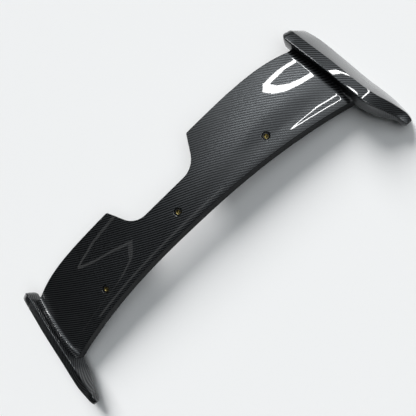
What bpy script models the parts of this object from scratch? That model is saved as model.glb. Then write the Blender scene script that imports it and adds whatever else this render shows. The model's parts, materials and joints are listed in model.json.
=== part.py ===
"""Carbon-fibre rear wing: an arched, swept blade with a notched tail edge and two end pods.

Frame: +X runs along the span, +Y points from the blunt nose edge to the notched tail edge, +Z is
up.  The wing stands on the lower outer edges of its two pods, mounting face up, with the floor at
Z = 0 and the origin on the floor in the middle of the outline.
"""
import math

import bmesh
import bpy
from mathutils import Vector

# ---------------------------------------------------------------- driving dimensions (metres)
GAP = 0.0003                # clearance between pieces that touch
SKIN = 0.0018               # laminate thickness of the blade skins
POD_SKIN = 0.0022           # laminate thickness of the pod skins

TIP_NOSE = (0.4717, -0.0589)    # nose corner of the blade at the pod
TIP_TAIL = (0.4545, 0.1350)     # tail corner of the blade at the pod
SWEEP = 0.0477              # how far the nose edge moves towards the tail at mid-span
TAIL_BOW = 0.0347           # how far the tail edge bows out between the tip and the notch
ARCH = 0.0198               # rise of the blade at mid-span
TIP_HEIGHT = 0.0405         # height of the nose crease at the tip
ARCH_POWER = 2.4            # the arch and the sweep are flat in the middle and steep at the tips
BOW_POWER = 6.0

NOTCH_FLOOR = 0.0920        # Y of the notch's inner edge
NOTCH_CORNER_X = 0.1440     # where the notch meets the tail edge
NOTCH_FLANK = math.radians(61.3)    # slope of the notch's flanks
NOTCH_FILLET = 0.060        # radius between the flank and the inner edge
NOTCH_SHARE = 0.3125        # share of the half-span that fans into the notch
COLUMNS = 32                # section columns along the half-span

NOSE_SETBACK = 0.0094       # the nose face leans back by this much
NOSE_DROP = 0.0160          # height of the nose face
CAMBER = 0.0115             # crown of the upper face above the nose crease
CAMBER_SKEW = 0.75          # below 1 the crown sits nearer the nose
TAIL_THICKNESS = 0.0040
BELLY_DROP = 0.0185         # lowest line of the underside, below the nose crease
BELLY_HOLLOW = 0.0030       # how far the underside curves up between belly and tail
TAIL_BOND = 0.90            # the skins are bonded to each other beyond this share of the chord
ROOT_FILLET = 0.0140        # radius where the blade's upper face runs up into the pod

MOUNT_X = 0.2763            # outer mounting points, left and right
MOUNT_SETBACK = 0.0510      # distance of the mounting line from the nose edge
MOUNT_ROW = (0.0355, 0.0660)    # band across the chord that holds the mounting blocks
WEB = (0.0663, 0.0693)      # band across the chord that holds the shear web
NOSE_CORE_START = 0.0180
BLOCK_LENGTH = 0.050
INSERT_RADIUS = 0.0060
INSERT_BORE = 0.0042
INSERT_LENGTH = 0.0130
INSERT_DEPTH = 0.0035       # the insert's face sits this far below the blade's surface
SINK_RADIUS = 0.0096        # countersink at the surface
RIB_THICKNESS = 0.004
DOWEL_RADIUS = 0.0030
DOWEL_REACH = 0.014         # how far a dowel enters the pod
DOWEL_YS = (0.000, 0.060)

POD_HALF_LENGTH = 0.1725
# Pod rails: Y, then (X, Z) of inner waist, inner top, outer top, outer bottom and inner bottom.
POD_RAILS = (
    (0.160, (0.4540, 0.052), (0.4565, 0.0705), (0.4845, 0.0560), (0.5280, -0.00355), (0.4540, 0.032)),
    (0.120, (0.4562, 0.052), (0.4610, 0.0705), (0.4880, 0.0590), (0.5355, -0.00355), (0.4562, 0.029)),
    (0.050, (0.4624, 0.053), (0.4685, 0.0730), (0.4950, 0.0635), (0.5395, -0.00355), (0.4624, 0.024)),
    (-0.040, (0.4704, 0.054), (0.4750, 0.0765), (0.5015, 0.0685), (0.5445, -0.00355), (0.4704, 0.020)),
    (-0.075, (0.4750, 0.052), (0.4790, 0.0750), (0.5085, 0.0650), (0.5490, -0.00355), (0.4740, 0.024)),
    (-0.112, (0.4890, 0.042), (0.4965, 0.0595), (0.5225, 0.0515), (0.5515, -0.00355), (0.4860, 0.025)),
    (-0.150, (0.5110, 0.030), (0.5145, 0.0395), (0.5360, 0.0310), (0.5500, -0.00355), (0.5110, 0.020)),
)
POD_CORNERS = (0.0, 0.0045, 0.0045, 0.0045, 0.0080)     # rounding at each rail
POD_NOSE_ROUND = 0.016      # length of the rounded end at +Y
POD_TAIL_ROUND = 0.024      # length of the rounded end at -Y
POD_CORE_END = 0.140        # the foam fills the pod between -this and +this
POD_RAKE = 0.014            # how far the pod's lower edge sits back from its top at the +Y end

CARBON = ((0.018, 0.020, 0.022, 1.0), 0.18, 0.0)
FOAM = ((0.62, 0.52, 0.33, 1.0), 0.85, 0.0)
ALUMINIUM = ((0.72, 0.73, 0.75, 1.0), 0.38, 1.0)
BRASS = ((0.80, 0.62, 0.25, 1.0), 0.28, 1.0)
STEEL = ((0.55, 0.56, 0.58, 1.0), 0.30, 1.0)


# ---------------------------------------------------------------- scene helpers
for leftover in list(bpy.data.objects):
    bpy.data.objects.remove(leftover, do_unlink=True)


def paint(obj, look):
    """Give the object its own material from a (colour, roughness, metallic) triple."""
    colour, roughness, metallic = look
    material = bpy.data.materials.new(obj.name + "_finish")
    material.use_nodes = True
    shader = material.node_tree.nodes["Principled BSDF"]
    shader.inputs["Base Color"].default_value = colour
    shader.inputs["Roughness"].default_value = roughness
    shader.inputs["Metallic"].default_value = metallic
    obj.data.materials.append(material)


def loft(name, sections, look):
    """Skin a run of cross-sections; each one is a pair of equally long rows of points."""
    mesh = bpy.data.meshes.new(name)
    bm = bmesh.new()
    rings = []
    for first_row, second_row in sections:
        loop = list(first_row) + list(reversed(second_row))
        rings.append([bm.verts.new(point) for point in loop])
    count = len(rings[0])
    for ring, following in zip(rings, rings[1:]):
        for k in range(count):
            after = (k + 1) % count
            bm.faces.new((ring[k], ring[after], following[after], following[k]))
    for ring in (rings[0], rings[-1]):
        for k in range(count // 2 - 1):
            bm.faces.new((ring[k], ring[k + 1], ring[count - 2 - k], ring[count - 1 - k]))
    bmesh.ops.recalc_face_normals(bm, faces=bm.faces)
    bm.to_mesh(mesh)
    bm.free()
    obj = bpy.data.objects.new(name, mesh)
    bpy.context.scene.collection.objects.link(obj)
    paint(obj, look)
    return obj


def turned(name, radius, length, centre, look, axis="Z", top_radius=None, sides=32):
    """A straight or tapered round body standing on the given axis."""
    bpy.ops.mesh.primitive_cone_add(
        vertices=sides,
        radius1=radius,
        radius2=radius if top_radius is None else top_radius,
        depth=length,
        location=centre,
        rotation=(0.0, math.pi / 2 if axis == "X" else 0.0, 0.0),
    )
    obj = bpy.context.object
    obj.name = name
    bpy.ops.object.transform_apply(location=True, rotation=True, scale=True)
    if look is not None:
        paint(obj, look)
    return obj


def cut(obj, cutter):
    """Subtract the cutter from the object and keep the cutter only as a hidden guide."""
    modifier = obj.modifiers.new("cut_" + cutter.name, "BOOLEAN")
    modifier.operation = "DIFFERENCE"
    modifier.solver = "EXACT"
    modifier.object = cutter
    cutter.hide_render = True
    cutter.display_type = "WIRE"


def offset(path, distance):
    """Shift an open path of (u, v) points to its left-hand side, mitred at the corners."""
    shifted = []
    last = len(path) - 1
    for k, point in enumerate(path):
        before = path[max(k - 1, 0)]
        after = path[min(k + 1, last)]
        towards = Vector(point) - Vector(before) if k > 0 else Vector(after) - Vector(point)
        away = Vector(after) - Vector(point) if k < last else towards
        towards.normalize()
        away.normalize()
        bisector = (towards + away).normalized()
        reach = distance / max(bisector.dot(away), 0.5)
        shifted.append((point[0] - bisector.y * reach, point[1] + bisector.x * reach))
    return shifted


# ---------------------------------------------------------------- blade plan and section
def nose_y(x):
    return TIP_NOSE[1] + SWEEP * (1.0 - (abs(x) / TIP_NOSE[0]) ** ARCH_POWER)


def tail_y(x):
    return TIP_TAIL[1] + TAIL_BOW * (1.0 - (abs(x) / TIP_TAIL[0]) ** BOW_POWER)


def arch_z(x):
    return TIP_HEIGHT + ARCH * (1.0 - (abs(x) / TIP_NOSE[0]) ** ARCH_POWER)


def notch_point(share):
    """Point on the notch outline, from its middle (0) to its outer corner (1)."""
    corner_y = tail_y(NOTCH_CORNER_X)
    meet_x = NOTCH_CORNER_X - (corner_y - NOTCH_FLOOR) / math.tan(NOTCH_FLANK)
    tangent = NOTCH_FILLET * math.tan(NOTCH_FLANK / 2)
    floor = meet_x - tangent
    arc = NOTCH_FILLET * NOTCH_FLANK
    flank = math.hypot(NOTCH_CORNER_X - meet_x, corner_y - NOTCH_FLOOR) - tangent
    run = share * (floor + arc + flank)
    if run <= floor:
        return run, NOTCH_FLOOR
    if run <= floor + arc:
        turn = (run - floor) / NOTCH_FILLET
        rise = NOTCH_FILLET * (1.0 - math.cos(turn))
        return floor + NOTCH_FILLET * math.sin(turn), NOTCH_FLOOR + rise
    left = floor + arc + flank - run
    return NOTCH_CORNER_X - left * math.cos(NOTCH_FLANK), corner_y - left * math.sin(NOTCH_FLANK)


def column(s):
    """Nose and tail end, in plan, of the section line at share s of the half-span (-1 to 1)."""
    side = -1.0 if s < 0 else 1.0
    share = abs(s)
    nose_x = TIP_NOSE[0] * share
    if share < NOTCH_SHARE:
        tail_x, tail = notch_point(share / NOTCH_SHARE)
    else:
        outward = (share - NOTCH_SHARE) / (1.0 - NOTCH_SHARE)
        tail_x = NOTCH_CORNER_X + (TIP_TAIL[0] - NOTCH_CORNER_X) * outward
        tail = tail_y(tail_x)
    return (side * nose_x, nose_y(nose_x)), (side * tail_x, tail)


def chord(s):
    nose, tail = column(s)
    return math.dist(nose, tail)


def place(s, point):
    """World position of a section point (distance from the nose edge, height) in column s."""
    nose, tail = column(s)
    share = point[0] / math.dist(nose, tail)
    x = nose[0] + (tail[0] - nose[0]) * share
    y = nose[1] + (tail[1] - nose[1]) * share
    return x, y, arch_z(x) + point[1]


def full_chord(s):
    """Chord of the column as if the tail edge ran on past the notch."""
    nose, tail = column(s)
    return math.dist(nose, tail) * (tail_y(tail[0]) - nose[1]) / (tail[1] - nose[1])


def upper_height(s, a):
    """Crown of the upper face, which the notch cuts off short in the middle of the span."""
    t = max((a - NOSE_SETBACK) / (full_chord(s) - NOSE_SETBACK), 0.0)
    return CAMBER * math.sin(math.pi * min(t, 1.0) ** CAMBER_SKEW)


def lower_height(s, a):
    """Underside, which turns up to meet the upper face at the tail edge or at the notch."""
    t = a / full_chord(s)
    slope = (BELLY_DROP - TAIL_THICKNESS) * t
    belly = slope - BELLY_DROP + BELLY_HOLLOW * math.sin(math.pi * t)
    tail = upper_height(s, chord(s)) - TAIL_THICKNESS
    turn = (a / chord(s)) ** 3
    return belly + (tail - belly) * turn


def share_run(start, end, count):
    return [start + (end - start) * k / (count - 1) for k in range(count)]


def chord_stations(start, length, count):
    """Distances from the nose edge, closer together near the nose, with one at the bond line."""
    bond = TAIL_BOND * length
    stations = [start + (bond - start) * t * t for t in share_run(0.06, 1.0, count)]
    return stations + share_run(bond + 0.03 * length, length, 3)


def bonded(inner, s, side):
    """Thicken a skin's inner row beyond the bond line until both skins meet with a thin gap."""
    length = chord(s)
    row = []
    for a, z in inner:
        if a > (TAIL_BOND + 0.01) * length:
            z = (upper_height(s, a) + lower_height(s, a) + side * GAP) / 2
        row.append((a, z))
    row[-1] = (length, row[-1][1])
    return row


def root_rise(s):
    """Height of the fillet over the blade's upper face, near the pods."""
    inside = max(ROOT_FILLET - (1.0 - abs(s)) * TIP_NOSE[0], 0.0)
    return ROOT_FILLET - math.sqrt(ROOT_FILLET ** 2 - inside ** 2)


def upper_rows(s):
    """Outer and inner row of the upper skin's section, nose face included."""
    length = chord(s)
    outer = [(0.0, -NOSE_DROP), (NOSE_SETBACK * 0.94, -NOSE_DROP * 0.10)]
    outer += [(a, upper_height(s, a)) for a in chord_stations(NOSE_SETBACK, length, 13)]
    inner = offset(outer, -SKIN)
    inner[0] = (inner[0][0], -NOSE_DROP)
    raised = outer[:1] + [(a, z + root_rise(s)) for a, z in outer[1:]]
    return raised, bonded(inner, s, 1.0)


def lower_rows(s):
    """Inner and outer row of the lower skin's section."""
    length = chord(s)
    outer = [(0.0004, -NOSE_DROP - GAP), (0.0040, -BELLY_DROP)]
    outer += [(a, lower_height(s, a)) for a in chord_stations(0.0080, length, 12)]
    inner = offset(outer, SKIN)
    inner[0] = (outer[0][0] + SKIN, -NOSE_DROP - GAP)
    return bonded(inner, s, -1.0), outer


def filler_rows(s, start, end, count=8, clear=SKIN + GAP):
    """Upper and lower row of whatever fills the space between the skins from start to end."""
    upper = []
    lower = []
    for a in share_run(start, end, count):
        upper.append((a, upper_height(s, a) - clear))
        lower.append((a, lower_height(s, a) + clear))
    return upper, lower


def span_shares(start, end):
    """The section columns between two shares of the half-span, both ends included."""
    low, high = min(start, end), max(start, end)
    grid = [k / COLUMNS for k in range(-COLUMNS, COLUMNS + 1)]
    return [low] + [s for s in grid if low + 0.001 < s < high - 0.001] + [high]


def blade_piece(name, rows, start, end, look, extra=()):
    """Loft of the section rows between two shares; extra shares refine it where it bends most."""
    sections = []
    for s in sorted(span_shares(start, end) + list(extra)):
        first, second = rows(s)
        sections.append(([place(s, p) for p in first], [place(s, p) for p in second]))
    return loft(name, sections, look)


def band_piece(name, band, start, end, look):
    """A filler between two fixed distances from the nose edge."""
    return blade_piece(name, lambda s: filler_rows(s, band[0], band[1]), start, end, look)


def aft_rows(s):
    return filler_rows(s, WEB[1] + GAP, chord(s) * (TAIL_BOND - 0.02), clear=SKIN + 2 * GAP)


def rib_rows(s):
    return filler_rows(s, NOSE_CORE_START, chord(s) * (TAIL_BOND - 0.02), 14)


# ---------------------------------------------------------------- blade
RIB_SHARE = RIB_THICKNESS / TIP_NOSE[0]
GAP_SHARE = GAP / TIP_NOSE[0]
CORE_TIP = 1.0 - RIB_SHARE - GAP_SHARE
BLOCK_SHARE = BLOCK_LENGTH / 2 / TIP_NOSE[0]
MOUNT_SHARE = MOUNT_X / (TIP_NOSE[0] + (TIP_TAIL[0] - TIP_NOSE[0]) * MOUNT_SETBACK / chord(0.6))
BLOCK_INNER = MOUNT_SHARE - BLOCK_SHARE - GAP_SHARE
BLOCK_OUTER = MOUNT_SHARE + BLOCK_SHARE + GAP_SHARE

FILLET_SHARES = [1.0 - share * ROOT_FILLET / TIP_NOSE[0] for share in (1.0, 0.6, 0.3, 0.1)]
blade_upper = blade_piece("blade_upper_skin", upper_rows, -1.0, 1.0, CARBON,
                          FILLET_SHARES + [-share for share in FILLET_SHARES])
blade_piece("blade_lower_skin", lower_rows, -1.0, 1.0, CARBON)
band_piece("nose_core", (NOSE_CORE_START, MOUNT_ROW[0] - GAP), -CORE_TIP, CORE_TIP, FOAM)
band_piece("shear_web", WEB, -CORE_TIP, CORE_TIP, CARBON)
blade_piece("aft_core_center", aft_rows, GAP_SHARE - NOTCH_SHARE, NOTCH_SHARE - GAP_SHARE, FOAM)

ribs = {}
for side, label in ((-1.0, "left"), (1.0, "right")):
    blade_piece("aft_core_" + label, aft_rows, side * NOTCH_SHARE, side * CORE_TIP, FOAM)
    band_piece("outer_mount_core_" + label, MOUNT_ROW, side * BLOCK_OUTER, side * CORE_TIP, FOAM)
    band_piece("inner_mount_core_" + label, MOUNT_ROW, side * (BLOCK_SHARE + GAP_SHARE),
               side * BLOCK_INNER, FOAM)
    ribs[label] = blade_piece("tip_rib_" + label, rib_rows, side * (1.0 - RIB_SHARE), side, CARBON)

# ---------------------------------------------------------------- mounting points
for middle, label in ((-MOUNT_SHARE, "left"), (0.0, "center"), (MOUNT_SHARE, "right")):
    block = band_piece("mount_block_" + label, MOUNT_ROW, middle - BLOCK_SHARE,
                       middle + BLOCK_SHARE, ALUMINIUM)
    x, y, z = place(middle, (MOUNT_SETBACK, upper_height(middle, MOUNT_SETBACK)))
    seat = z - INSERT_DEPTH
    insert = turned("threaded_insert_" + label, INSERT_RADIUS, INSERT_LENGTH,
                    (x, y, seat - INSERT_LENGTH / 2), BRASS)
    thread = turned("thread_guide_" + label, INSERT_BORE, INSERT_LENGTH,
                    (x, y, seat - INSERT_LENGTH / 2 + 0.002), None)
    cut(insert, thread)
    pocket_depth = INSERT_LENGTH + GAP
    pocket = turned("pocket_guide_" + label, INSERT_RADIUS + GAP, pocket_depth + 0.010,
                    (x, y, seat - pocket_depth / 2 + 0.005), None)
    cut(block, pocket)
    sink_low = INSERT_RADIUS + GAP
    sink_rise = SINK_RADIUS - sink_low
    sink = turned("sink_guide_" + label, sink_low, 2 * sink_rise, (x, y, z), None,
                  top_radius=SINK_RADIUS + sink_rise)
    cut(blade_upper, sink)


# ---------------------------------------------------------------- end pods
def rail(y, index):
    """Smooth (X, Z) of one pod rail at the given Y, by cubic interpolation between the stations."""
    ys = [row[0] for row in POD_RAILS]
    points = [Vector(row[index]) for row in POD_RAILS]
    last = len(ys) - 1
    y = min(max(y, ys[last]), ys[0])
    k = 0
    while k < last - 1 and y < ys[k + 1]:
        k += 1

    def slope(n):
        low = max(n - 1, 0)
        high = min(n + 1, last)
        return (points[high] - points[low]) / (ys[high] - ys[low])

    width = ys[k + 1] - ys[k]
    t = (y - ys[k]) / width
    start = points[k] * (2 * t**3 - 3 * t**2 + 1) + slope(k) * width * (t**3 - 2 * t**2 + t)
    return start + points[k + 1] * (3 * t**2 - 2 * t**3) + slope(k + 1) * width * (t**3 - t**2)


def rounded(corners, radii, steps=3):
    """Closed outline through the corners with each one rounded by an arc of its radius."""
    outline = []
    count = len(corners)
    for k, (corner, radius) in enumerate(zip(corners, radii)):
        to_last = (corners[k - 1] - corner).normalized()
        to_next = (corners[(k + 1) % count] - corner).normalized()
        if radius == 0.0:
            outline.append(corner)
            continue
        half = to_last.angle(to_next) / 2
        centre = corner + (to_last + to_next).normalized() * radius / math.sin(half)
        start = (corner + to_last * radius / math.tan(half) - centre).normalized()
        end = (corner + to_next * radius / math.tan(half) - centre).normalized()
        for step in range(steps):
            outline.append(centre + start.slerp(end, step / (steps - 1)) * radius)
    return outline


def pod_section(y):
    """Outline of the pod at the given Y: waist, inner top, outer top, outer bottom, inner bottom."""
    corners = [rail(y, index) for index in range(1, 6)]
    middle = (corners[1] + corners[2] + corners[3] + corners[4]) / 4
    to_end = POD_HALF_LENGTH - abs(y)
    length = POD_NOSE_ROUND if y > 0 else POD_TAIL_ROUND
    shrink = 1.0
    if to_end < length:
        shrink = 0.45 + 0.55 * math.sqrt(1.0 - (1.0 - to_end / length) ** 2)
    corners = [middle + (corner - middle) * shrink for corner in corners]
    return rounded(corners, [radius * shrink for radius in POD_CORNERS])


def inset(outline, distance):
    """Closed outline moved inwards by the distance."""
    wrapped = [outline[-1]] + list(outline) + [outline[0]]
    return [Vector(point) for point in offset(wrapped, -distance)[1:-1]]


def trimmed(row, amount):
    """The same open row with both ends pulled in along it by the amount."""
    row = list(row)
    row[0] = row[0] + (row[1] - row[0]).normalized() * amount
    row[-1] = row[-1] + (row[-2] - row[-1]).normalized() * amount
    return row


def pod_stations(half_length):
    """Y positions of the pod sections, closer together towards the rounded ends."""
    count = 25
    turns = [math.pi * k / (count - 1) for k in range(count)]
    return [half_length * math.cos(turn) for turn in turns]


SEAM_TOP = 3        # outline point where the skins meet on the rim
SEAM_BOTTOM = 9     # outline point where the skins meet at the lower outer edge


def pod_half(y, outer_half):
    """Outer and inner row of one pod skin; beyond the foam the two halves meet on a flat seam."""
    outline = pod_section(y)
    inner = inset(outline, POD_SKIN)
    if outer_half:
        picks = list(range(SEAM_TOP, SEAM_BOTTOM + 1))
    else:
        picks = list(range(SEAM_BOTTOM, len(outline))) + list(range(0, SEAM_TOP + 1))
    row = trimmed([outline[k] for k in picks], GAP / 2)
    back = trimmed([inner[k] for k in picks], GAP / 2)
    if abs(y) > POD_CORE_END:
        start, end = row[0], row[-1]
        back = [start.lerp(end, k / (len(row) - 1)) for k in range(len(row))]
        towards_row = (row[len(row) // 2] - back[len(row) // 2]).normalized()
        back = [point + towards_row * GAP / 2 for point in back]
        back[0] = start
        back[-1] = end
    return row, back


def pod_place(y, point, rim, side):
    """World position of a pod outline point; the +Y end leans back below its rim height."""
    lean = max(y / POD_HALF_LENGTH, 0.0) ** 3
    return side * point[0], y - POD_RAKE * lean * (1.0 - point[1] / rim), point[1]


def pod_piece(name, rows, ys, side, look):
    sections = []
    for y in ys:
        first, second = rows(y)
        rim = max(point.y for point in pod_section(y))
        sections.append(([pod_place(y, p, rim, side) for p in first],
                         [pod_place(y, p, rim, side) for p in second]))
    return loft(name, sections, look)


def pod_core_rows(y):
    outline = inset(pod_section(y), POD_SKIN + 5 * GAP)
    half = len(outline) // 2
    first = outline[:half]
    second = list(reversed(outline[-half:]))
    return first, second


for side, label in ((-1.0, "left"), (1.0, "right")):
    ys = pod_stations(POD_HALF_LENGTH)
    pod_piece("pod_outer_skin_" + label, lambda y: pod_half(y, True), ys, side, CARBON)
    inner_skin = pod_piece("pod_inner_skin_" + label, lambda y: pod_half(y, False), ys, side, CARBON)
    core_ys = [y for y in ys if abs(y) <= POD_CORE_END]
    core = pod_piece("pod_core_" + label, pod_core_rows, core_ys, side, FOAM)
    for number, y in enumerate(DOWEL_YS, start=1):
        share = (y - TIP_NOSE[1]) / (TIP_TAIL[1] - TIP_NOSE[1])
        tip_x = TIP_NOSE[0] + (TIP_TAIL[0] - TIP_NOSE[0]) * share
        a = y - TIP_NOSE[1]
        height = arch_z(tip_x) + (upper_height(side, a) + lower_height(side, a)) / 2
        start = tip_x - RIB_THICKNESS + 3 * GAP
        length = tip_x + DOWEL_REACH - start
        centre = (side * (start + length / 2), y, height)
        turned(f"dowel_{label}_{number}", DOWEL_RADIUS, length, centre, STEEL, axis="X", sides=20)
        guide = turned(f"dowel_guide_{label}_{number}", DOWEL_RADIUS + GAP, length + 0.006, centre,
                       None, axis="X", sides=20)
        for obj in (ribs[label], inner_skin, core):
            cut(obj, guide)
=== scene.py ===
"""Looks of the carbon-fibre rear wing: fine skins, woven clear-coated laminate, studio."""
import json
import math

import bpy
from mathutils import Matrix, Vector


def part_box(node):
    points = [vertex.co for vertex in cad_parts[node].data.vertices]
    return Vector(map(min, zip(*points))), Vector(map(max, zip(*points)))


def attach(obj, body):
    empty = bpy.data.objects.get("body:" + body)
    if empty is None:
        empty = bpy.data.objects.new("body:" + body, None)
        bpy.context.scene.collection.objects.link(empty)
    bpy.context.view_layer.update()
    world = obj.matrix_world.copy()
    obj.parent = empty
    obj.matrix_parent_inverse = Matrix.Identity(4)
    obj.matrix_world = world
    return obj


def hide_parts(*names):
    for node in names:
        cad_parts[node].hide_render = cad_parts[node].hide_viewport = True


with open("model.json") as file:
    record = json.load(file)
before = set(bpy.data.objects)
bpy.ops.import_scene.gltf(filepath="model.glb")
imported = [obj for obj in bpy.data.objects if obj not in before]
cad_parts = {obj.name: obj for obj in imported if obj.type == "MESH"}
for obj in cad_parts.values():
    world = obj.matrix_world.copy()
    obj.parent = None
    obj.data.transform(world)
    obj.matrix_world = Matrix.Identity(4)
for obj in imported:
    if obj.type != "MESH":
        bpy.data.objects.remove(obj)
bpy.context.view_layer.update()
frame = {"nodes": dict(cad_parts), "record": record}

# ---------------------------------------------------------------- blade, metres
TIP_NOSE = (0.4717, -0.0589)    # nose corner of the blade at the pod
TIP_TAIL = (0.4545, 0.1350)     # tail corner of the blade at the pod
SWEEP = 0.0477              # how far the nose edge moves towards the tail at mid-span
TAIL_BOW = 0.0347           # how far the tail edge bows out between the tip and the notch
ARCH = 0.0198               # rise of the blade at mid-span
TIP_HEIGHT = 0.0405         # height of the nose crease at the tip
ARCH_POWER = 2.4            # the arch and the sweep are flat in the middle and steep at the tips
BOW_POWER = 6.0

NOTCH_FLOOR = 0.0920        # Y of the notch's inner edge
NOTCH_CORNER_X = 0.1440     # where the notch meets the tail edge
NOTCH_FLANK = math.radians(61.3)    # slope of the notch's flanks
NOTCH_FILLET = 0.060        # radius between the flank and the inner edge
NOTCH_SHARE = 0.3125        # share of the half-span that fans into the notch

NOSE_SETBACK = 0.0094       # the nose face leans back by this much
NOSE_DROP = 0.0160          # height of the nose face
NOSE_ROUND = 0.0026         # radius along the top of the nose face
LIP_WIDTH = 0.0260          # width of the flatter lip behind the nose face
LIP_RISE = 0.0011           # how far the crease at the lip's inner edge stands above the crown
LIP_BLEND = 0.0600          # length over which that rise fades out towards the tail
CAMBER = 0.0115             # crown of the upper face above the nose crease
CAMBER_SKEW = 0.75          # below 1 the crown sits nearer the nose
TAIL_THICKNESS = 0.0040
TAIL_ROUND = 0.0012         # radius along the top of the tail edge
BELLY_DROP = 0.0185         # lowest line of the underside, below the nose crease
BELLY_HOLLOW = 0.0030       # how far the underside curves up between belly and tail
BELLY_ROUND = 0.0020        # radius along the front of the belly
TAIL_BOND = 0.90            # the skins are bonded to each other beyond this share of the chord
BOND_MEET = 0.92            # they have met, all but the gap, at this share
ROOT_FILLET = 0.0140        # radius where the blade's upper face runs up into the pod
SKIN = 0.0018               # laminate thickness of the blade skins
GAP = 0.0003                # clearance between pieces that touch
COLUMNS = 120               # section columns over each half of the span
FILLET_COLUMNS = 15         # section columns over each root fillet
CROWN_POINTS = 60           # points along the upper face of a section
BELLY_POINTS = 50           # points along its underside
INSIDE_POINTS = 9           # points along the inside of a skin

# ---------------------------------------------------------------- mounting points, metres
INSERT_RADIUS = 0.0060
INSERT_DEPTH = 0.0035       # the insert's face sits this far below the blade's surface
SINK_RADIUS = 0.0096        # countersink at the surface
THREAD_MAJOR = 0.0049       # radius at the bottom of the insert's thread grooves
THREAD_MINOR = 0.0042       # radius at the thread's crests
THREAD_PITCH = 0.0015
BORE_FLOOR = 0.0020         # thickness of the insert's closed end
MOUNT_LABELS = ("left", "center", "right")

# ---------------------------------------------------------------- pods, metres
POD_HALF_LENGTH = 0.1725
# Pod rails: Y, then (X, Z) of inner waist, inner top, outer top, outer bottom and inner bottom.
POD_RAILS = (
    (0.160, (0.4540, 0.052), (0.4565, 0.0705), (0.4845, 0.0560), (0.5280, -0.00355), (0.4540, 0.032)),
    (0.120, (0.4562, 0.052), (0.4610, 0.0705), (0.4880, 0.0590), (0.5355, -0.00355), (0.4562, 0.029)),
    (0.050, (0.4624, 0.053), (0.4685, 0.0730), (0.4950, 0.0635), (0.5395, -0.00355), (0.4624, 0.024)),
    (-0.040, (0.4704, 0.054), (0.4750, 0.0765), (0.5015, 0.0685), (0.5445, -0.00355), (0.4704, 0.020)),
    (-0.075, (0.4750, 0.052), (0.4790, 0.0750), (0.5085, 0.0650), (0.5490, -0.00355), (0.4740, 0.024)),
    (-0.112, (0.4890, 0.042), (0.4965, 0.0595), (0.5225, 0.0515), (0.5515, -0.00355), (0.4860, 0.025)),
    (-0.150, (0.5110, 0.030), (0.5145, 0.0395), (0.5360, 0.0310), (0.5500, -0.00355), (0.5110, 0.020)),
)
POD_CORNERS = (0.0, 0.0030, 0.0022, 0.0045, 0.0080)     # rounding at each rail
POD_SKIN = 0.0022           # laminate thickness of the pod skins
POD_NOSE_ROUND = 0.016      # length of the rounded end at +Y
POD_TAIL_ROUND = 0.024      # length of the rounded end at -Y
POD_END_SHARE = 0.45        # size of the flat at either end, as a share of the section
POD_CORE_END = 0.140        # the foam fills the pod between -this and +this
POD_RAKE = 0.014            # how far the pod's lower edge sits back from its top at the +Y end
POD_STATIONS = 120          # sections along a pod
CORNER_STEPS = 7            # points in each rounded corner
SEAM_TOP = CORNER_STEPS             # outline point where the pod's skins meet on the rim
SEAM_BOTTOM = 3 * CORNER_STEPS      # outline point where they meet at the lower outer edge

# ---------------------------------------------------------------- cloth
TOW = 0.0020                # width of one tow in the 2x2 twill, metres
RIB_DIRECTION = math.radians(67.0)  # direction across the twill's ribs at mid-span, from +X
RIB_TURN_RIGHT = math.radians(20.0) / 0.45  # how much it turns back per metre towards +X
RIB_TURN_LEFT = math.radians(7.0) / 0.30    # and per metre towards -X
# Ends of the carbon's base colour; the pale end shows mostly as the warp tows' painted sheen.
FIBRE_DARK = (0.003, 0.0035, 0.004, 1.0)
FIBRE_LIGHT = (0.092, 0.098, 0.104, 1.0)

# ---------------------------------------------------------------- studio, metres
FLOOR_REACH = 12.0          # half the width of the backdrop paper
KEY_DIRECTION = (-1.5, -4.8, -2.4)
KEY_STRENGTH = 5.0
KEY_ANGLE = math.radians(26.0)
CEILING = 2.0               # height of the light tubes
BRIGHT = 30.0               # radiance of the tubes over the +X half
# Light tubes: start and end in plan, width, radiance.
TUBES = (
    ((1.62, 1.36), (1.30, 1.31), 0.06, BRIGHT),
    ((1.31, 1.31), (1.04, 1.24), 0.08, BRIGHT),
    ((1.05, 1.26), (0.97, 1.15), 0.10, BRIGHT),
    ((0.98, 1.18), (1.03, 0.98), 0.14, BRIGHT),
    ((1.02, 1.02), (1.12, 0.84), 0.17, BRIGHT),
    ((1.08, 0.86), (1.26, 0.79), 0.17, BRIGHT),
    ((1.22, 0.79), (1.46, 0.80), 0.15, BRIGHT),
    ((1.22, -0.30), (0.96, -0.24), 0.07, BRIGHT),
    ((0.96, -0.24), (0.65, -0.74), 0.05, BRIGHT),
    ((0.64, -0.74), (1.08, -0.97), 0.05, BRIGHT),
    ((3.25, -0.05), (3.25, 1.05), 0.08, BRIGHT),
    ((2.68, -0.05), (2.68, 1.05), 0.08, BRIGHT),
    ((2.68, 1.00), (3.25, 1.00), 0.10, BRIGHT),
    ((2.68, 0.00), (3.25, 0.00), 0.08, BRIGHT),
    ((-1.84, 1.28), (-1.28, 0.87), 0.05, 0.6),
    ((-1.28, 0.87), (-0.95, 0.55), 0.06, 0.6),
    ((-1.84, 1.28), (-1.45, 1.41), 0.05, 0.6),
    ((-1.45, 1.41), (-1.05, 1.46), 0.05, 0.5),
    ((-0.98, 0.55), (-1.05, 0.10), 0.06, 0.5),
    ((-1.05, 0.10), (-1.35, -0.30), 0.06, 0.45),
    ((-1.35, -0.30), (-1.95, -0.50), 0.08, 0.4),
    ((-0.10, -0.98), (-1.70, -1.05), 0.22, 0.5),
)
WORLD_TINT = (0.95, 1.0, 1.03, 1.0)
WORLD_SIDE = (-0.30, 0.20, 0.01, 1.15)      # direction x from, to; strength from, to
WORLD_HEIGHT = (0.58, 0.80, 0.08, 1.00)     # direction z from, to; share of the strength from, to
WORLD_PATCH = (0.19, 0.10, 0.97)            # middle of the darker patch overhead
WORLD_PATCH_EDGE = (0.10, 0.20, 0.45, 1.0)  # distance from it from, to; share from, to
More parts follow.
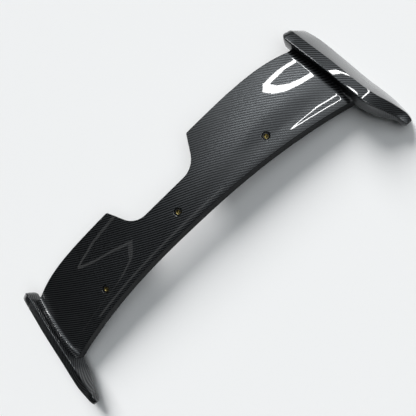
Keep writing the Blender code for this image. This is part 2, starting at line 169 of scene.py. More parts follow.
WORLD_BACKDROP = 0.85                       # strength behind the floor's far edge, as the camera sees it
CAMERA_PLACE = (0.2280, -0.1392, 1.0396)
CAMERA_TURN = (-0.0139, 0.2174, -0.7487)
CAMERA_SENSOR = 36.0        # millimetres
CAMERA_LENS = 35.913        # millimetres


# ---------------------------------------------------------------- meshes
def link(obj):
    """Put the object in the scene and hand it back."""
    bpy.context.scene.collection.objects.link(obj)
    return obj


def new_object(name, mesh, *replaced, slot="carbon_laminate"):
    """Put a visible piece on the body, in place of the CAD nodes it replaces."""
    obj = link(bpy.data.objects.new(name, mesh))
    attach(obj, "root")
    if not mesh.materials:
        mesh.materials.append(BLADE_CLOTH)
    if replaced:
        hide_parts(*replaced)
    return obj


def skinned(name, rings, cloth, sharp=30.0):
    """Mesh of closed rings with flat ends.

    cloth holds the weave position of each ring's points, and of its first point once more.
    """
    count = len(rings[0])
    points = [point for ring in rings for point in ring]
    faces = []
    spots = []
    for n in range(len(rings) - 1):
        for k in range(count):
            after = (k + 1) % count
            low, high = n * count, (n + 1) * count
            faces.append((low + k, high + k, high + after, low + after))
            spots += [cloth[n][k], cloth[n + 1][k], cloth[n + 1][k + 1], cloth[n][k + 1]]
    last = (len(rings) - 1) * count
    faces.append(tuple(range(count)))
    spots += list(cloth[0][:count])
    faces.append(tuple(reversed(range(last, last + count))))
    spots += list(reversed(cloth[-1][:count]))
    mesh = bpy.data.meshes.new(name)
    mesh.from_pydata(points, [], faces)
    layer = mesh.uv_layers.new(name="Weave")
    for loop, spot in zip(layer.uv, spots):
        loop.vector = spot
    mesh.shade_smooth()
    mesh.set_sharp_from_angle(angle=math.radians(sharp))
    return mesh


def filleted(path, radii, steps):
    """Open path of (u, v) points with an arc of the given radius at each inner corner."""
    points = [Vector(path[0])]
    for k in range(1, len(path) - 1):
        corner = Vector(path[k])
        back = (Vector(path[k - 1]) - corner).normalized()
        onward = (Vector(path[k + 1]) - corner).normalized()
        if radii[k] == 0.0:
            points.append(corner)
            continue
        half = back.angle(onward) / 2
        centre = corner + (back + onward).normalized() * radii[k] / math.sin(half)
        start = (corner + back * radii[k] / math.tan(half) - centre).normalized()
        end = (corner + onward * radii[k] / math.tan(half) - centre).normalized()
        for step in range(steps):
            points.append(centre + start.slerp(end, step / (steps - 1)) * radii[k])
    points.append(Vector(path[-1]))
    return points


def offset(path, distance):
    """Shift an open path of (u, v) points to its left-hand side, mitred at the corners."""
    shifted = []
    last = len(path) - 1
    for k, point in enumerate(path):
        before = path[max(k - 1, 0)]
        after = path[min(k + 1, last)]
        towards = Vector(point) - Vector(before) if k > 0 else Vector(after) - Vector(point)
        away = Vector(after) - Vector(point) if k < last else towards
        towards.normalize()
        away.normalize()
        bisector = (towards + away).normalized()
        reach = distance / max(bisector.dot(away), 0.5)
        shifted.append(Vector((point[0] - bisector.y * reach, point[1] + bisector.x * reach)))
    return shifted


def spread(start, end, count):
    """Evenly spaced values from start to end."""
    return [start + (end - start) * k / (count - 1) for k in range(count)]


# ---------------------------------------------------------------- blade plan and section
def nose_y(x):
    return TIP_NOSE[1] + SWEEP * (1.0 - (abs(x) / TIP_NOSE[0]) ** ARCH_POWER)


def tail_y(x):
    return TIP_TAIL[1] + TAIL_BOW * (1.0 - (abs(x) / TIP_TAIL[0]) ** BOW_POWER)


def arch_z(x):
    return TIP_HEIGHT + ARCH * (1.0 - (abs(x) / TIP_NOSE[0]) ** ARCH_POWER)


def notch_point(share):
    """Point on the notch outline, from its middle (0) to its outer corner (1)."""
    corner_y = tail_y(NOTCH_CORNER_X)
    meet_x = NOTCH_CORNER_X - (corner_y - NOTCH_FLOOR) / math.tan(NOTCH_FLANK)
    tangent = NOTCH_FILLET * math.tan(NOTCH_FLANK / 2)
    floor = meet_x - tangent
    arc = NOTCH_FILLET * NOTCH_FLANK
    flank = math.hypot(NOTCH_CORNER_X - meet_x, corner_y - NOTCH_FLOOR) - tangent
    run = share * (floor + arc + flank)
    if run <= floor:
        return run, NOTCH_FLOOR
    if run <= floor + arc:
        turn = (run - floor) / NOTCH_FILLET
        rise = NOTCH_FILLET * (1.0 - math.cos(turn))
        return floor + NOTCH_FILLET * math.sin(turn), NOTCH_FLOOR + rise
    left = floor + arc + flank - run
    return NOTCH_CORNER_X - left * math.cos(NOTCH_FLANK), corner_y - left * math.sin(NOTCH_FLANK)


def column(s):
    """Nose and tail end, in plan, of the section line at share s of the half-span (-1 to 1)."""
    side = -1.0 if s < 0 else 1.0
    share = abs(s)
    nose_x = TIP_NOSE[0] * share
    if share < NOTCH_SHARE:
        tail_x, tail = notch_point(share / NOTCH_SHARE)
    else:
        outward = (share - NOTCH_SHARE) / (1.0 - NOTCH_SHARE)
        tail_x = NOTCH_CORNER_X + (TIP_TAIL[0] - NOTCH_CORNER_X) * outward
        tail = tail_y(tail_x)
    return (side * nose_x, nose_y(nose_x)), (side * tail_x, tail)


def chord(s):
    nose, tail = column(s)
    return math.dist(nose, tail)


def place(s, point):
    """World position of a section point (distance from the nose edge, height) in column s."""
    nose, tail = column(s)
    share = point[0] / math.dist(nose, tail)
    x = nose[0] + (tail[0] - nose[0]) * share
    y = nose[1] + (tail[1] - nose[1]) * share
    return Vector((x, y, arch_z(x) + point[1]))


def full_chord(s):
    """Chord of the column as if the tail edge ran on past the notch."""
    nose, tail = column(s)
    return math.dist(nose, tail) * (tail_y(tail[0]) - nose[1]) / (tail[1] - nose[1])


def upper_height(s, a):
    """Crown of the upper face, which the notch cuts off short in the middle of the span."""
    t = max((a - NOSE_SETBACK) / (full_chord(s) - NOSE_SETBACK), 0.0)
    return CAMBER * math.sin(math.pi * min(t, 1.0) ** CAMBER_SKEW)


def lip_rise(a):
    """Extra height that makes the soft crease along the lip behind the nose."""
    beyond = a - NOSE_SETBACK - LIP_WIDTH
    if beyond < 0.0:
        return LIP_RISE * max(1.0 + beyond / LIP_WIDTH, 0.0)
    return LIP_RISE * max(1.0 - beyond / LIP_BLEND, 0.0) ** 2


def lower_height(s, a):
    """Underside, which turns up to meet the upper face at the tail edge or at the notch."""
    t = a / full_chord(s)
    slope = (BELLY_DROP - TAIL_THICKNESS) * t
    belly = slope - BELLY_DROP + BELLY_HOLLOW * math.sin(math.pi * t)
    tail = upper_height(s, chord(s)) - TAIL_THICKNESS
    turn = (a / chord(s)) ** 3
    return belly + (tail - belly) * turn


# ---------------------------------------------------------------- materials
class Nodes:
    """Short calls for building one material's node tree."""

    def __init__(self, name):
        self.material = bpy.data.materials.new(name)
        self.material.use_nodes = True
        self.tree = self.material.node_tree
        self.shader = self.tree.nodes["Principled BSDF"]

    def node(self, kind, **settings):
        made = self.tree.nodes.new(kind)
        for key, value in settings.items():
            setattr(made, key, value)
        return made

    def feed(self, socket, value):
        if isinstance(value, bpy.types.NodeSocket):
            self.tree.links.new(value, socket)
        else:
            socket.default_value = value

    def math(self, operation, *values):
        made = self.node("ShaderNodeMath", operation=operation)
        for socket, value in zip(made.inputs, values):
            self.feed(socket, value)
        return made.outputs[0]

    def blend(self, share, first, second):
        """Number between first and second."""
        return self.math("ADD", self.math("MULTIPLY", self.math("SUBTRACT", second, first), share), first)

    def colours(self, share, first, second):
        made = self.node("ShaderNodeMix", data_type="RGBA")
        self.feed(made.inputs[0], share)
        self.feed(made.inputs[6], first)
        self.feed(made.inputs[7], second)
        return made.outputs[2]

    def scaled(self, vector, factor):
        made = self.node("ShaderNodeVectorMath", operation="MULTIPLY")
        self.feed(made.inputs[0], vector)
        self.feed(made.inputs[1], factor)
        return made.outputs[0]

    def noise(self, vector, scale, detail=2.0):
        made = self.node("ShaderNodeTexNoise")
        self.feed(made.inputs["Vector"], vector)
        self.feed(made.inputs["Scale"], scale)
        self.feed(made.inputs["Detail"], detail)
        return made.outputs["Fac"]

    def ramp(self, value, low, high):
        """0 below low and 1 above high, smoothly."""
        made = self.node("ShaderNodeMapRange", interpolation_type="SMOOTHSTEP")
        self.feed(made.inputs[0], value)
        self.feed(made.inputs[1], low)
        self.feed(made.inputs[2], high)
        return made.outputs[0]

    def bump(self, height, distance, strength=1.0):
        made = self.node("ShaderNodeBump")
        self.feed(made.inputs["Height"], height)
        made.inputs["Distance"].default_value = distance
        made.inputs["Strength"].default_value = strength
        return made.outputs[0]

    def set(self, **constants):
        for name, value in constants.items():
            self.shader.inputs[name.replace("_", " ")].default_value = value

    def link(self, **sockets):
        for name, value in sockets.items():
            self.feed(self.shader.inputs[name.replace("_", " ")], value)


def carbon(name, by_uv=True, gloss=1.0, shade=1.0):
    """Clear-coated 2x2 twill: crowned tows passing over and under each other, under a glossy coat."""
    n = Nodes(name)
    place_of = n.node("ShaderNodeTexCoord").outputs["Object"]
    flat = n.node("ShaderNodeUVMap", uv_map="Weave").outputs[0] if by_uv else place_of
    # The tows sway by up to about half their width, as in hand-laid cloth.
    sway = n.math("MULTIPLY", n.math("SUBTRACT", n.noise(place_of, 22.0), 0.5), 1.1)
    cells = n.scaled(flat, (1.0 / TOW, 1.0 / TOW, 1.0 / TOW))
    parts = n.node("ShaderNodeSeparateXYZ")
    n.feed(parts.inputs[0], cells)
    u = n.math("ADD", parts.outputs[0], sway)
    v = n.math("SUBTRACT", parts.outputs[1], sway)
    # Each cell shows the warp or the weft: over two, under two, one step on in every row.
    turn = n.math("FLOORED_MODULO", n.math("ADD", n.math("FLOOR", u), n.math("FLOOR", v)), 4.0)
    warp = n.math("LESS_THAN", turn, 1.5)
    in_u = n.math("FRACT", u)
    in_v = n.math("FRACT", v)
    across = n.blend(warp, in_v, in_u)
    step = n.blend(warp, n.math("ADD", n.math("SUBTRACT", turn, 2.0), in_u), n.math("ADD", turn, in_v))
    along = n.math("MULTIPLY", step, 0.5)
    crown = n.math("SINE", n.math("MULTIPLY", across, math.pi))
    arch = n.math("SINE", n.math("MULTIPLY", along, math.pi))
    bow = n.math("ADD", n.math("MULTIPLY", arch, 0.6), 0.4)
    height = n.math("MULTIPLY", n.math("POWER", crown, 0.5), bow)
    # Filaments: noise drawn out along each tow.
    along_u = n.scaled(cells, (0.5, 14.0, 1.0))
    along_v = n.scaled(cells, (14.0, 0.5, 1.0))
    filament = n.blend(warp, n.noise(along_u, 1.0), n.noise(along_v, 1.0))
    # Warp tows are painted far lighter than weft tows, a painted sheen in place of the tows' anisotropic
    # reflection; each tow is painted darker towards its edges and where it dips under, painted shade
    # between the tows. Filaments and patches are the cloth's own random tone.
    painted_sheen_and_tone = n.math("MULTIPLY", n.blend(warp, 0.15, 1.8), n.math("ADD", n.math("MULTIPLY", height, 0.6), 0.4))
    painted_sheen_and_tone = n.math("MULTIPLY", painted_sheen_and_tone, n.math("ADD", n.math("MULTIPLY", filament, 0.7), 0.65))
    patchy = n.math("ADD", n.math("MULTIPLY", n.noise(place_of, 9.0, 3.0), 0.3), 0.85)
    painted_sheen_and_tone = n.math("MULTIPLY", painted_sheen_and_tone, patchy)
    n.link(Base_Color=n.colours(n.math("MULTIPLY", painted_sheen_and_tone, 0.5 * shade), FIBRE_DARK, FIBRE_LIGHT),
           Roughness=n.blend(filament, 0.34, 0.44),
           Anisotropic_Rotation=n.math("MULTIPLY", warp, 0.25),
           Normal=n.bump(height, 0.00010, 0.25),
           Coat_Normal=n.bump(n.noise(place_of, 55.0, 1.0), 0.00010, 0.25))
    if by_uv:
        n.link(Tangent=n.node("ShaderNodeTangent", direction_type="UV_MAP", uv_map="Weave").outputs[0])
    n.set(Metallic=0.85, Anisotropic=0.7, Coat_Weight=gloss, Coat_Roughness=0.02, Coat_IOR=1.5)
    return n.material


def metal(name, colour, tarnish, roughness, scale, metallic=1.0):
    """Machined metal: fine tool rings, uneven tarnish and softer worn spots."""
    n = Nodes(name)
    spot = n.node("ShaderNodeTexCoord").outputs["Object"]
    grain = n.noise(n.scaled(spot, (scale, scale, scale * 6.0)), 1.0, 4.0)
    cloud = n.noise(spot, 260.0, 3.0)
    n.link(Base_Color=n.colours(n.ramp(cloud, 0.42, 0.68), colour, tarnish),
           Roughness=n.blend(grain, roughness * 0.7, roughness * 1.4),
           Normal=n.bump(grain, 0.00004, 0.6))
    n.set(Metallic=metallic)
    return n.material


def foam(name):
    """Closed-cell structural foam: small cells with thin pale walls."""
    n = Nodes(name)
    spot = n.node("ShaderNodeTexCoord").outputs["Object"]
    cells = n.node("ShaderNodeTexVoronoi", feature="DISTANCE_TO_EDGE")
    n.feed(cells.inputs["Vector"], spot)
    cells.inputs["Scale"].default_value = 900.0
    wall = n.ramp(cells.outputs["Distance"], 0.02, 0.20)
    tint = n.noise(spot, 40.0, 3.0)
    low = n.colours(tint, (0.50, 0.40, 0.22, 1.0), (0.60, 0.50, 0.30, 1.0))
    n.link(Base_Color=n.colours(wall, (0.74, 0.66, 0.46, 1.0), low),
           Roughness=n.blend(wall, 0.75, 0.95),
           Normal=n.bump(wall, 0.0003, 0.7))
    return n.material


BLADE_CLOTH = carbon("blade_carbon")
# Nose face and countersinks: thin coat, and fibres painted at a fifth of their tone, painted shade.
EDGE_CLOTH_PAINTED_SHADE = carbon("edge_carbon_painted_shade", gloss=0.12, shade=0.2)
BRASS = metal("brass", (0.46, 0.37, 0.13, 1.0), (0.20, 0.16, 0.07, 1.0), 0.32, 900.0)
# Near-black for the closed end of each insert: painted shade at the bottom of the bore.
BORE_PAINTED_SHADE = metal("bore_painted_shade", (0.012, 0.012, 0.010, 1.0), (0.040, 0.036, 0.024, 1.0),
                     0.60, 600.0, metallic=0.0)
ANODISED = metal("black_anodised", (0.020, 0.020, 0.022, 1.0), (0.045, 0.045, 0.048, 1.0),
                 0.45, 700.0, metallic=0.6)
STEEL = metal("steel", (0.56, 0.57, 0.59, 1.0), (0.40, 0.40, 0.42, 1.0), 0.28, 800.0)
FOAM = foam("foam")
RAW_CARBON = carbon("raw_carbon", by_uv=False, gloss=0.0)
INSIDE = {"foam_core": FOAM, "mount_block_alloy": ANODISED, "dowel_steel": STEEL,
          "insert_brass": BRASS, "carbon_laminate": RAW_CARBON}
for subpart in frame["record"]["subparts"]:
    node_mesh = frame["nodes"][subpart["node"]].data
    node_mesh.materials.clear()
    node_mesh.materials.append(INSIDE[subpart["material_slot"]])

# ---------------------------------------------------------------- blade skins
def weave_angle(x):
    """Direction across the twill ribs in plan, in radians from +X; the cloth turns along the span."""
    return RIB_DIRECTION - RIB_TURN_RIGHT * max(x, 0.0) - RIB_TURN_LEFT * max(-x, 0.0)


def weave_run(x):
    """Distance across the ribs gathered along the span up to x, and the same along the ribs."""
    steps = 40
    across = along = 0.0
    for k in range(steps):
        angle = weave_angle(x * (k + 0.5) / steps)
        across += math.cos(angle) * x / steps
        along -= math.sin(angle) * x / steps
    return across, along


def weave_at(run, x, y):
    """Weave coordinates along the two tow directions at a point of the blade."""
    angle = weave_angle(x)
    across = run[0] + math.sin(angle) * y
    along = run[1] + math.cos(angle) * y
    return (across + along) / math.sqrt(2.0), (across - along) / math.sqrt(2.0)


def span_shares():
    """Fine section columns, closer together in the fillets at the tips."""
    edge = 1.1 * ROOT_FILLET / TIP_NOSE[0]
    turns = spread(0.0, math.pi / 2, FILLET_COLUMNS)
    near = [1.0 - edge * (1.0 - math.cos(turn)) for turn in turns]
    half = spread(0.0, 1.0 - edge, COLUMNS) + list(reversed(near[:-1]))
    return [-s for s in reversed(half[1:])] + half


def root_rise(s):
    """Height of the resin fillet over the blade's surface."""
    away = (1.0 - abs(s)) * TIP_NOSE[0]
    if away >= ROOT_FILLET:
        return 0.0
    return ROOT_FILLET - math.sqrt(ROOT_FILLET ** 2 - (ROOT_FILLET - away) ** 2)


def upper_loop(s):
    """Outer and inner row of the upper skin's section; the outer one has the nose and tail faces."""
    length = chord(s)
    tail_top = upper_height(s, length)
    middle = tail_top + (GAP - TAIL_THICKNESS) / 2
    bottom = [(0.0, -NOSE_DROP), (NOSE_SETBACK, 0.0005)]
    stations = [NOSE_SETBACK + (length - NOSE_SETBACK) * t ** 1.25 for t in spread(0.02, 1.0, CROWN_POINTS)]
    crown = [(a, upper_height(s, a) + lip_rise(a)) for a in stations]
    path = bottom + crown + [(length, middle)]
    radii = [0.0] * len(path)
    radii[1] = NOSE_ROUND
    radii[-2] = TAIL_ROUND
    outer = filleted(path, radii, CORNER_STEPS)
    # The inside starts in the corner behind the nose face.
    inside = [(0.0088, -0.00355)]
    inside += [(a, upper_height(s, a) - SKIN) for a in spread(0.014, TAIL_BOND * length, INSIDE_POINTS)]
    bond = length * BOND_MEET
    inside.append((bond, (upper_height(s, bond) + lower_height(s, bond) + GAP) / 2))
    inner = [Vector(p) for p in [(SKIN, -NOSE_DROP)] + inside]
    return outer, inner


def blade_mesh(name, loop_of, rise_of):
    """Skin through all section columns, with the cloth laid along each section's outline."""
    rings = []
    cloth = []
    for s in span_shares():
        outer, inner = loop_of(s)
        rise = rise_of(s)
        nose, tail = column(s)
        reaches = [-NOSE_DROP]
        for before, after in zip(outer, outer[1:]):
            reaches.append(reaches[-1] + (after - before).length)
        reaches += [point.x for point in reversed(inner)]
        ring = []
        spots = []
        for k, point in enumerate(list(outer) + list(reversed(inner))):
            spot = place(s, point)
            if k < len(outer) and point.x > NOSE_SETBACK * 0.5:
                spot.z += rise
            ring.append(spot)
            share = reaches[k] / chord(s)
            flat_x = nose[0] + (tail[0] - nose[0]) * share
            flat_y = nose[1] + (tail[1] - nose[1]) * share
            spots.append(weave_at(weave_run(flat_x), flat_x, flat_y))
        spots.append(spots[-1])
        rings.append(ring)
        cloth.append(spots)
    return skinned(name, rings, cloth)


blade_upper = new_object("blade_upper_shell", blade_mesh("blade_upper_shell", upper_loop, root_rise),
                         "blade_upper_skin")


def turned(name, profile, centre, sides=64):
    """Closed body of revolution through (radius, height) points, top to bottom, at the centre."""
    mesh = bpy.data.meshes.new(name)
    points = []
    for radius, z in profile:
        for k in range(sides):
            turn = 2 * math.pi * k / sides
            points.append(centre + Vector((radius * math.cos(turn), radius * math.sin(turn), z)))
    faces = []
    for n in range(len(profile) - 1):
        for k in range(sides):
            after = (k + 1) % sides
            faces.append((n * sides + k, (n + 1) * sides + k, (n + 1) * sides + after, n * sides + after))
    faces.append(tuple(range(sides)))
    faces.append(tuple(reversed(range((len(profile) - 1) * sides, len(profile) * sides))))
    mesh.from_pydata(points, [], faces)
    mesh.shade_smooth()
    return mesh


def mounting_hole(label):
    """Cut the rounded countersink of one mounting point out of the upper skin."""
    low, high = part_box("threaded_insert_" + label)
    centre = Vector(((low.x + high.x) / 2, (low.y + high.y) / 2, high.z + INSERT_DEPTH))
    profile = [(SINK_RADIUS + 0.0030, 0.0060), (SINK_RADIUS + 0.0006, 0.0008), (SINK_RADIUS, 0.0001),
               (SINK_RADIUS - 0.0005, -0.0006), (INSERT_RADIUS + 0.0005, -0.0030),
               (INSERT_RADIUS + GAP, -0.0034), (INSERT_RADIUS + GAP, -0.0080)]
    cutter = link(bpy.data.objects.new("hole_cutter", turned("hole_cutter", profile, centre)))
    modifier = blade_upper.modifiers.new("hole_" + label, "BOOLEAN")
    modifier.operation = "DIFFERENCE"
    modifier.solver = "EXACT"
    modifier.object = cutter
    bpy.context.view_layer.objects.active = blade_upper
    bpy.ops.object.modifier_apply(modifier=modifier.name)
    bpy.data.objects.remove(cutter)
    return centre


HOLES = {label: mounting_hole(label) for label in MOUNT_LABELS}


def is_edge(face):
    """Whether the face belongs to the bare nose face or to one of the countersinks, which are painted
    darker as painted shade.
    """
    if face.normal.y < -0.6:
        return True
    near = any(math.dist(face.center[:2], spot[:2]) < SINK_RADIUS for spot in HOLES.values())
    return near and -0.5 < face.normal.z < 0.96


# The nose face and the countersinks get the darkened carbon: painted shade.
blade_upper.data.materials.append(EDGE_CLOTH_PAINTED_SHADE)
for face in blade_upper.data.polygons:
    face.material_index = 1 if is_edge(face) else 0


def insert_mesh(name, low, high):
    """Brass insert: chamfered mouth and a cut thread down to a closed end."""
    centre_x, centre_y = (low.x + high.x) / 2, (low.y + high.y) / 2
    outer = (high.x - low.x) / 2
    top = high.z
    rows = [(outer * 0.5, low.z, 0.0), (outer, low.z, 0.0), (outer, top - 0.0004, 0.0),
            (outer - 0.0004, top, 0.0), (THREAD_MAJOR + 0.0006, top, 0.0)]
    floor_z = low.z + BORE_FLOOR
    rows_per_turn = 8
    count = int((top - floor_z) / THREAD_PITCH * rows_per_turn)
    for z in spread(top - 0.0006, floor_z, count + 1):
        rows.append((THREAD_MAJOR, z, THREAD_MAJOR - THREAD_MINOR))
    rows.append((THREAD_MINOR * 0.5, floor_z - 0.0004, 0.0))
    sides = 48
    points = []
    for radius, z, depth in rows:
        for k in range(sides):
            turn = 2 * math.pi * k / sides
            phase = (z / THREAD_PITCH - k / sides) % 1.0
            ridge = 1.0 - abs(2.0 * phase - 1.0)
            reach = radius - depth * ridge
            points.append((centre_x + reach * math.cos(turn), centre_y + reach * math.sin(turn), z))
    faces = []
    for n in range(len(rows) - 1):
        for k in range(sides):
            after = (k + 1) % sides
            faces.append((n * sides + k, n * sides + after, (n + 1) * sides + after, (n + 1) * sides + k))
    faces.append(tuple(reversed(range(sides))))
    faces.append(tuple(range((len(rows) - 1) * sides, len(rows) * sides)))
    mesh = bpy.data.meshes.new(name)
    mesh.from_pydata(points, [], faces)
    mesh.shade_smooth()
    mesh.set_sharp_from_angle(angle=math.radians(35.0))
    return mesh


for label in HOLES:
    mesh = insert_mesh("insert_" + label, *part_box("threaded_insert_" + label))
    mesh.materials.append(BRASS)
    mesh.materials.append(BORE_PAINTED_SHADE)
    # The closed end at the bottom of the bore gets the near-black painted shade.
    mesh.polygons[-1].material_index = 1
    new_object("insert_" + label, mesh, "threaded_insert_" + label, slot="insert_brass")


def lower_loop(s):
    """Outer and inner row of the lower skin's section, from its front lip round the belly to the tail."""
    length = chord(s)
    middle = upper_height(s, length) - (GAP + TAIL_THICKNESS) / 2
    path = [(0.0004, -NOSE_DROP - GAP), (0.0036, -BELLY_DROP)]
    path += [(a, lower_height(s, a)) for a in spread(0.0080, length, BELLY_POINTS)] + [(length, middle)]
    radii = [0.0] * len(path)
    radii[1] = BELLY_ROUND
    radii[-2] = TAIL_ROUND
    outer = filleted(path, radii, 5)
    inside = [(a, lower_height(s, a) + SKIN) for a in spread(0.010, TAIL_BOND * length, INSIDE_POINTS)]
    bond = length * BOND_MEET
    inside.append((bond, (upper_height(s, bond) + lower_height(s, bond) - GAP) / 2))
    inner = [Vector(p) for p in [(0.0022, -NOSE_DROP - GAP)] + inside]
    return outer, inner


new_object("blade_lower_shell", blade_mesh("blade_lower_shell", lower_loop, lambda s: 0.0),
           "blade_lower_skin")


# ---------------------------------------------------------------- pods
def rail(y, index):
    """Smooth (X, Z) of one pod rail at the given Y, by cubic interpolation between the stations."""
    ys = [row[0] for row in POD_RAILS]
    points = [Vector(row[index]) for row in POD_RAILS]
    last = len(ys) - 1
    y = min(max(y, ys[last]), ys[0])
    k = 0
    while k < last - 1 and y < ys[k + 1]:
        k += 1

    def slope(n):
        low = max(n - 1, 0)
        high = min(n + 1, last)
        return (points[high] - points[low]) / (ys[high] - ys[low])

    width = ys[k + 1] - ys[k]
    t = (y - ys[k]) / width
    start = points[k] * (2 * t**3 - 3 * t**2 + 1) + slope(k) * width * (t**3 - 2 * t**2 + t)
    return start + points[k + 1] * (3 * t**2 - 2 * t**3) + slope(k + 1) * width * (t**3 - t**2)


def pod_section(y):
    """Outline of the pod at the given Y: waist, inner top, outer top, outer bottom, inner bottom."""
    corners = [rail(y, index) for index in range(1, 6)]
    middle = (corners[1] + corners[2] + corners[3] + corners[4]) / 4
    to_end = POD_HALF_LENGTH - abs(y)
    length = POD_NOSE_ROUND if y > 0 else POD_TAIL_ROUND
    shrink = 1.0
    if to_end < length:
        shrink = POD_END_SHARE + (1.0 - POD_END_SHARE) * math.sqrt(1.0 - (1.0 - to_end / length) ** 2)
    corners = [middle + (corner - middle) * shrink for corner in corners]
    radii = [radius * shrink for radius in POD_CORNERS]
    return filleted(corners + [corners[0]], radii + [0.0], CORNER_STEPS)[:-1]


def inset(outline, distance):
    """Closed outline moved inwards by the distance."""
    wrapped = [outline[-1]] + list(outline) + [outline[0]]
    return offset(wrapped, -distance)[1:-1]


def trimmed(row, amount):
    """The same open row with both ends pulled in along it by the amount."""
    row = list(row)
    row[0] = row[0] + (row[1] - row[0]).normalized() * amount
    row[-1] = row[-1] + (row[-2] - row[-1]).normalized() * amount
    return row


def pod_half(y, outer_half):
    """Outer and inner row of one pod skin; beyond the foam the two halves meet on a flat seam."""
    outline = pod_section(y)
    inner = inset(outline, POD_SKIN)
    if outer_half:
        picks = list(range(SEAM_TOP, SEAM_BOTTOM + 1))
    else:
        picks = list(range(SEAM_BOTTOM, len(outline))) + list(range(0, SEAM_TOP + 1))
    row = trimmed([outline[k] for k in picks], GAP / 2)
    back = trimmed([inner[k] for k in picks], GAP / 2)
    if abs(y) > POD_CORE_END:
        start, end = row[0], row[-1]
        back = [start.lerp(end, k / (len(row) - 1)) for k in range(len(row))]
        towards_row = (row[len(row) // 2] - back[len(row) // 2]).normalized()
        back = [point + towards_row * GAP / 2 for point in back]
        back[0] = start
        back[-1] = end
    return row, back


def pod_place(y, point, rim, side):
    """World position of a pod outline point; the +Y end leans back below its rim height."""
    lean = max(y / POD_HALF_LENGTH, 0.0) ** 3
    return Vector((side * point[0], y - POD_RAKE * lean * (1.0 - point[1] / rim), point[1]))


def pod_mesh(name, outer_half, side):
    """One pod skin, with the cloth wrapped around the pod; side is -1 or 1."""
    rings = []
    cloth = []
    for turn in spread(0.0, math.pi, POD_STATIONS):
        y = POD_HALF_LENGTH * math.cos(turn)
        row, back = pod_half(y, outer_half)
        rim = max(point.y for point in pod_section(y))
        ring = [pod_place(y, p, rim, side) for p in list(row) + list(reversed(back))]
        if side < 0:
            ring.reverse()
            ring = ring[-1:] + ring[:-1]
        around = [0.0]
        loop = ring + ring[:1]
        for before, after in zip(loop, loop[1:]):
            around.append(around[-1] + (after - before).length)
        rings.append(ring)
        cloth.append([(y, side * run) for run in around])
    return skinned(name, rings, cloth)


for side, label in ((-1.0, "left"), (1.0, "right")):
    new_object("pod_outer_shell_" + label, pod_mesh("pod_outer_shell_" + label, True, side),
               "pod_outer_skin_" + label)
    new_object("pod_inner_shell_" + label, pod_mesh("pod_inner_shell_" + label, False, side),
               "pod_inner_skin_" + label)


# ---------------------------------------------------------------- floor, light and camera
def paper(name):
    """Matt white backdrop paper with faint fibres."""
    n = Nodes(name)
    spot = n.node("ShaderNodeTexCoord").outputs["Object"]
    fibres = n.noise(n.scaled(spot, (400.0, 150.0, 1.0)), 1.0, 4.0)
    n.link(Base_Color=n.colours(fibres, (0.855, 0.855, 0.855, 1.0), (0.875, 0.875, 0.872, 1.0)),
           Roughness=n.blend(fibres, 0.85, 0.95),
           Normal=n.bump(fibres, 0.0001, 0.3))
    return n.material


CORNERS = ((-1, -1), (1, -1), (1, 1), (-1, 1))
floor_mesh = bpy.data.meshes.new("floor")
floor_mesh.from_pydata([(x * FLOOR_REACH, y * FLOOR_REACH, 0.0) for x, y in CORNERS], [], [(0, 1, 2, 3)])
floor_mesh.materials.append(paper("paper"))
floor = link(bpy.data.objects.new("floor", floor_mesh))


def far_light(name, direction, strength, spread_angle):
    """Large far window shining along the direction, which glossy faces don't mirror."""
    data = bpy.data.lights.new(name, "SUN")
    data.energy = strength
    data.angle = spread_angle
    obj = link(bpy.data.objects.new(name, data))
    obj.rotation_euler = Vector(direction).to_track_quat("-Z", "Y").to_euler()
    obj.visible_glossy = False


def tube(name, start, end, width, radiance):
    """Straight light tube between two ceiling points, facing down, that only glossy faces show."""
    start, end = Vector(start), Vector(end)
    along = end - start
    data = bpy.data.lights.new(name, "AREA")
    data.shape = "RECTANGLE"
    data.size, data.size_y = along.length, width
    data.energy = radiance * math.pi * along.length * width
    obj = link(bpy.data.objects.new(name, data))
    obj.location = (start + end) / 2
    obj.rotation_euler = (0.0, 0.0, math.atan2(along.y, along.x))
    obj.visible_camera = False
    obj.visible_diffuse = False


for number, (start, end, width, radiance) in enumerate(TUBES, start=1):
    tube(f"ceiling_tube_{number}", (*start, CEILING), (*end, CEILING), width, radiance)

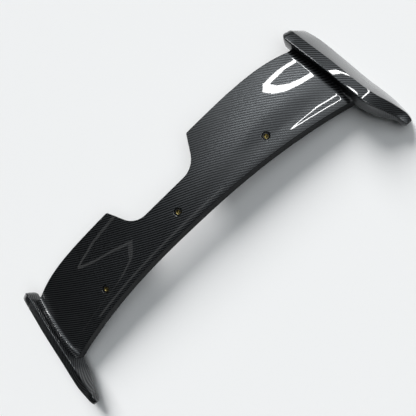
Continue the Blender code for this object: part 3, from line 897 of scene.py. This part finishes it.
far_light("key_light", KEY_DIRECTION, KEY_STRENGTH, KEY_ANGLE)


def build_world():
    """Soft room light: dark towards -X and low down, pale towards +X, with a darker patch overhead."""
    world = bpy.data.worlds.new("studio")
    bpy.context.scene.world = world
    world.use_nodes = True
    tree = world.node_tree

    def smooth(value, low, high, first, second):
        made = tree.nodes.new("ShaderNodeMapRange")
        made.interpolation_type = "SMOOTHSTEP"
        for index, number in ((1, low), (2, high), (3, first), (4, second)):
            made.inputs[index].default_value = number
        tree.links.new(value, made.inputs[0])
        return made.outputs[0]

    def product(first, second):
        made = tree.nodes.new("ShaderNodeMath")
        made.operation = "MULTIPLY"
        tree.links.new(first, made.inputs[0])
        tree.links.new(second, made.inputs[1])
        return made.outputs[0]

    direction = tree.nodes.new("ShaderNodeTexCoord").outputs["Generated"]
    split = tree.nodes.new("ShaderNodeSeparateXYZ")
    tree.links.new(direction, split.inputs[0])
    side = smooth(split.outputs[0], *WORLD_SIDE)
    patch = tree.nodes.new("ShaderNodeVectorMath")
    patch.operation = "DISTANCE"
    tree.links.new(direction, patch.inputs[0])
    patch.inputs[1].default_value = WORLD_PATCH
    shaded = smooth(patch.outputs["Value"], *WORLD_PATCH_EDGE)
    height = smooth(split.outputs[2], *WORLD_HEIGHT)
    seen = tree.nodes.new("ShaderNodeMix")
    tree.links.new(tree.nodes.new("ShaderNodeLightPath").outputs["Is Camera Ray"], seen.inputs[0])
    tree.links.new(product(product(side, height), shaded), seen.inputs[2])
    seen.inputs[3].default_value = WORLD_BACKDROP
    background = tree.nodes["Background"]
    tree.links.new(seen.outputs[0], background.inputs["Strength"])
    background.inputs["Color"].default_value = WORLD_TINT


build_world()

bpy.context.scene.view_settings.view_transform = "Standard"

camera_data = bpy.data.cameras.new("camera")
camera_data.sensor_width = CAMERA_SENSOR
camera_data.lens = CAMERA_LENS
camera = link(bpy.data.objects.new("camera", camera_data))
camera.location = CAMERA_PLACE
camera.rotation_euler = CAMERA_TURN
bpy.context.scene.camera = camera
